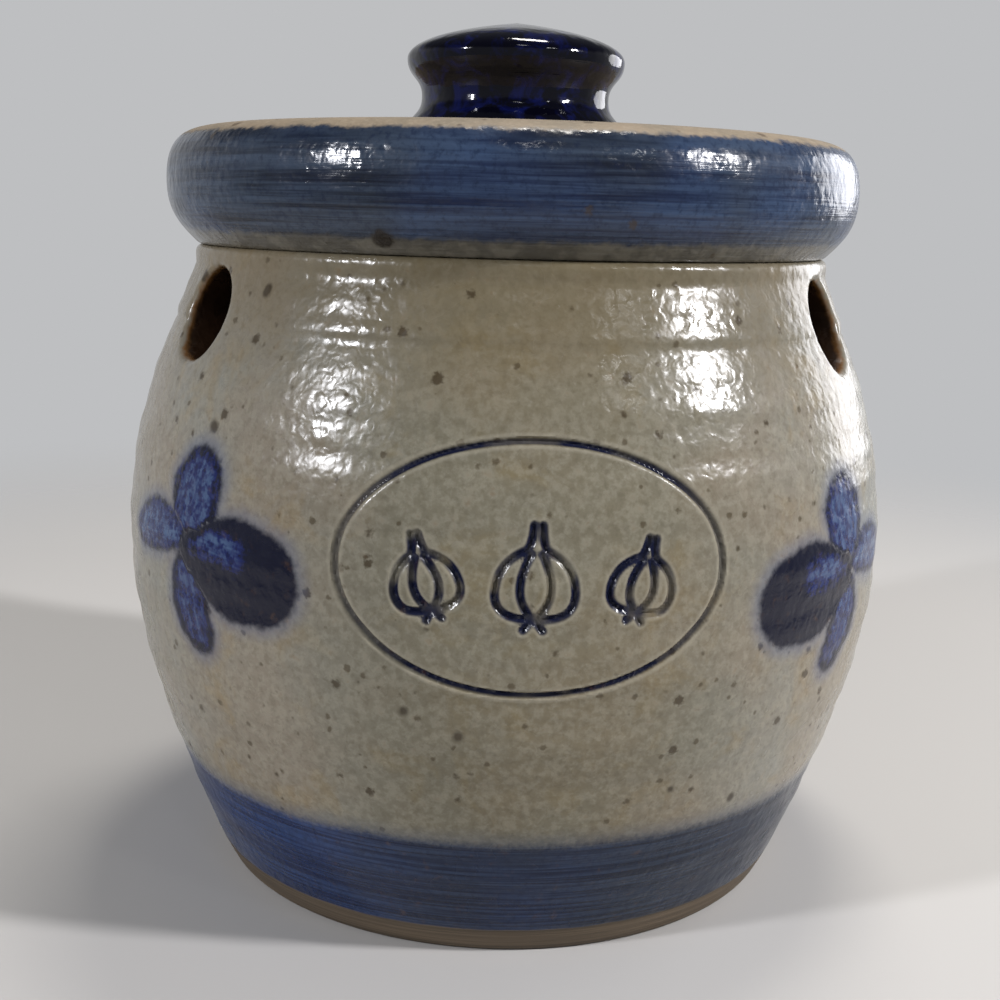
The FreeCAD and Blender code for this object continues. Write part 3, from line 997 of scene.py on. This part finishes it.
def cobalt_banded_lid():
    """The same stoneware, with cobalt slip held to the lid's rim with a wide brush as it turned,
    a wiped grey bevel below, and a dry tan top that the salt vapour hardly reached."""
    material, tree = new_finish("cobalt_banded_lid")
    point, radius, height, _ = pot_coordinates(tree)

    # Cobalt band: brush lines 0.6 and 2.2 mm apart, in drifts of 24 mm, dappled over 1 mm
    lines = streaks(tree, point, radius, height, 22.0, 0.6)
    broad = streaks(tree, point, radius, height, 40.0, 2.2)
    drift = add(tree, "MapRange", add(tree, "TexNoise", point, 1 / 24.0, 2.0), 0.4, 0.62)
    thin = add(tree, "Mix", drift, srgb("#3a4555"), srgb("#384964"))
    thick = add(tree, "Mix", drift, srgb("#131823"), srgb("#131e3a"))
    body = add(
        tree, "Math",
        add(tree, "Math", add(tree, "MapRange", lines, 0.34, 0.64), 0.6, operation="MULTIPLY"),
        add(tree, "Math", add(tree, "MapRange", broad, 0.36, 0.62), 0.4, operation="MULTIPLY"),
    )
    colour = add(tree, "Mix", body, thick, thin)
    dapple = add(tree, "MapRange", add(tree, "TexNoise", point, 1 / 1.0, 3.0, 0.7), 0.45, 0.7, 0.0, 0.5)
    colour = add(tree, "Mix", dapple, colour, srgb("#0e1830"))

    # Both edges of the band are ragged over 2.5 mm. Below it is grey, clouded over 4 mm
    worn = add(tree, "Math", height, shift(tree, add(tree, "TexNoise", point, 1 / 2.5, 3.0, 0.7), 1.6))
    clouds = add(tree, "MapRange", add(tree, "TexNoise", point, 1 / 4.0, 3.0, 0.6), 0.4, 0.65)
    grey = add(tree, "Mix", clouds, srgb("#4f4c45"), srgb("#676359"))
    below = add(tree, "MapRange", worn, LID_BAND_BOTTOM - 0.5, LID_BAND_BOTTOM + 0.5, 1.0, 0.0)
    colour = add(tree, "Mix", below, colour, grey)

    # Dry top: patches of 7 mm, turning rings 2.6 mm apart and a sandy grain of 0.7 mm
    dry_clay = add(tree, "MapRange", add(tree, "TexNoise", point, 1 / 7.0, 4.0, 0.65), 0.36, 0.64)
    tan = add(tree, "Mix", dry_clay, srgb("#7d7261"), srgb("#8b7c68"))
    rings = streaks(tree, point, radius, height, 60.0, 2.6)
    rings = add(tree, "MapRange", rings, 0.38, 0.62, 0.0, 0.22)
    tan = add(tree, "Mix", rings, tan, srgb("#6d6252"))
    sandy = add(tree, "MapRange", add(tree, "TexNoise", point, 1 / 0.7, 2.0, 0.7), 0.45, 0.7, 0.0, 0.4)
    tan = add(tree, "Mix", sandy, tan, srgb("#968976"))
    tan = speckled(tree, point, tan, *LID_TOP_SPECKS)
    top = add(tree, "MapRange", worn, LID_BAND_TOP - 0.35, LID_BAND_TOP + 0.35)
    colour = add(tree, "Mix", top, colour, tan)

    # Bare clay of the collar and the hollow inside it
    under = add(tree, "MapRange", radius, COLLAR_RADIUS / MM + 0.4, COLLAR_RADIUS / MM + 1.2, 1.0, 0.0)
    inside = add(tree, "MapRange", height, *LID_HOLLOW_TOP, 1.0, 0.0)
    under = add(tree, "Math", under, inside, operation="MULTIPLY")
    colour = add(tree, "Mix", under, colour, srgb("#6e5b45"))
    colour = speckled(tree, point, colour, *LID_SPECKS)

    # One large iron spot on the bevel, with an edge ragged by about 1.2 mm
    degrees, up, size = LID_SPOT
    turn = math.radians(degrees)
    spot = (LID_SPOT_RADIUS * math.sin(turn), -LID_SPOT_RADIUS * math.cos(turn), up)
    away = add(tree, "VectorMath", point, spot, operation="DISTANCE")
    ragged = add(tree, "TexNoise", point, 1 / 1.2, 2.0)
    away = add(tree, "Math", away, add(tree, "Math", ragged, 1.2, operation="MULTIPLY"))
    burnt = add(tree, "MapRange", away, size, size + 0.9, 0.95, 0.0)
    colour = add(tree, "Mix", burnt, colour, srgb("#1d1610"))

    dry = add(tree, "Math", top, under, operation="MAXIMUM")
    gloss = add(tree, "MapRange", add(tree, "TexNoise", point, 1 / 4.0, 2.0), 0.35, 0.65, 0.15, 0.25)
    roughness = add(tree, "Mix", dry, gloss, DRY_CLAY_ROUGHNESS, data_type="FLOAT")
    peel = orange_peel(tree, point)
    relief = add(tree, "Math", peel, add(tree, "Math", lines, 0.7, operation="MULTIPLY"))
    close_finish(tree, colour, roughness, relief, *SALT_GLAZE_SKIN)
    return material


def pooled_cobalt_glaze():
    """A knob dipped in cobalt glaze until it is near black, and wet-glossy, with blue where the
    glaze is thin in patches of 3.5 mm. It lies in 3 mm waves over rings 1.4 mm apart."""
    material, tree = new_finish("pooled_cobalt_glaze")
    point, radius, height, _ = pot_coordinates(tree)
    thin = add(tree, "MapRange", add(tree, "TexNoise", point, 1 / 3.5, 3.0, 0.6, None, 0.8), 0.46, 0.7)
    thin = add(tree, "Math", thin, 0.8, operation="MULTIPLY")
    colour = add(tree, "Mix", thin, srgb("#03030c"), srgb("#0a1142"))
    rings = streaks(tree, point, radius, height, 30.0, 1.4)
    waves = add(tree, "TexNoise", point, 1 / 3.0, 2.0)
    relief = add(tree, "Math", waves, add(tree, "Math", rings, 0.5, operation="MULTIPLY"))
    close_finish(tree, colour, KNOB_ROUGHNESS, relief, *KNOB_GLAZE_SKIN)
    return material


# Camera, light and floor

def place_camera():
    """The photograph's camera: close, a little above the lid's seam, tipped down and rolled."""
    turn = Matrix.Rotation(CAMERA_TURN, 3, "Z")
    level_right = Vector((math.cos(CAMERA_YAW), -math.sin(CAMERA_YAW), 0.0))
    level_ahead = Vector((math.sin(CAMERA_YAW), math.cos(CAMERA_YAW), 0.0))
    above = Vector((0, 0, 1))
    up = level_ahead * math.sin(CAMERA_PITCH) + above * math.cos(CAMERA_PITCH)
    ahead = level_ahead * math.cos(CAMERA_PITCH) - above * math.sin(CAMERA_PITCH)
    right = turn @ (level_right * math.cos(CAMERA_ROLL) + up * math.sin(CAMERA_ROLL))
    top = turn @ (up * math.cos(CAMERA_ROLL) - level_right * math.sin(CAMERA_ROLL))
    ahead = turn @ ahead
    place = turn @ Vector((0.0, -CAMERA_DISTANCE, CAMERA_HEIGHT))
    data = bpy.data.cameras.new("camera")
    data.sensor_width = SENSOR
    data.lens = FOCAL_PIXELS * SENSOR / IMAGE_PIXELS
    data.clip_start, data.clip_end = CAMERA_CLIP
    camera = bpy.data.objects.new("camera", data)
    bpy.context.scene.collection.objects.link(camera)
    camera.matrix_world = Matrix((
        (right.x, top.x, -ahead.x, place.x),
        (right.y, top.y, -ahead.y, place.y),
        (right.z, top.z, -ahead.z, place.z),
        (0, 0, 0, 1),
    ))
    bpy.context.scene.camera = camera


def soft_box(name, azimuth, elevation, distance, width, height, watts, colour):
    """An area lamp that faces the pot. Azimuth is counted from the front, to the right."""
    a, e = math.radians(azimuth), math.radians(elevation)
    away = Vector((math.sin(a) * math.cos(e), -math.cos(a) * math.cos(e), math.sin(e)))
    data = bpy.data.lights.new(name, "AREA")
    data.shape = "ELLIPSE"
    data.size = width
    data.size_y = height
    data.energy = watts
    data.color = srgb(colour)[:3]
    lamp = bpy.data.objects.new(name, data)
    bpy.context.scene.collection.objects.link(lamp)
    lamp.location = LAMP_AIM + away * distance
    lamp.rotation_euler = away.to_track_quat("Z", "Y").to_euler()


def light_the_room():
    """The lamps, and a plain room that is mid-grey in front, paler behind and dark above."""
    for lamp in LAMPS:
        soft_box(*lamp)
    world = bpy.data.worlds.new("room")
    world.use_nodes = True
    tree = world.node_tree
    tree.nodes.clear()
    back = add(tree, "SeparateXYZ", add(tree, "TexCoord"), out=1)
    high = add(tree, "SeparateXYZ", add(tree, "TexCoord"), out=2)
    back = add(tree, "MapRange", back, *BACK_FADE)
    colour = add(tree, "Mix", back, srgb(ROOM_FRONT), srgb(ROOM_BACK))
    high = add(tree, "MapRange", high, *CEILING_FADE)
    colour = add(tree, "Mix", high, colour, srgb(ROOM_CEILING))
    add(tree, "OutputWorld", add(tree, "Background", colour, 1.0))
    bpy.context.scene.world = world


def lay_floor():
    """A pale round of paper under the pot, which fades into the room."""
    bpy.ops.mesh.primitive_circle_add(vertices=FLOOR_SIDES, radius=FLOOR_FADE[1], fill_type="NGON")
    floor = bpy.context.object
    floor.name = "floor"
    bpy.ops.object.transform_apply(location=True, rotation=True, scale=True)
    material, tree = new_finish("pale_floor")
    away = add(tree, "VectorMath", add(tree, "TexCoord", out=3), operation="LENGTH")
    paper = add(tree, "BsdfDiffuse", srgb(FLOOR_COLOUR))
    faded = add(tree, "MapRange", away, *FLOOR_FADE)
    paper = add(tree, "MixShader", faded, paper, add(tree, "BsdfTransparent"))
    add(tree, "OutputMaterial", paper)
    floor.data.materials.append(material)


make_jar()
make_lid()
make_knob()
place_camera()
light_the_room()
lay_floor()
bpy.context.scene.view_settings.view_transform = "Standard"
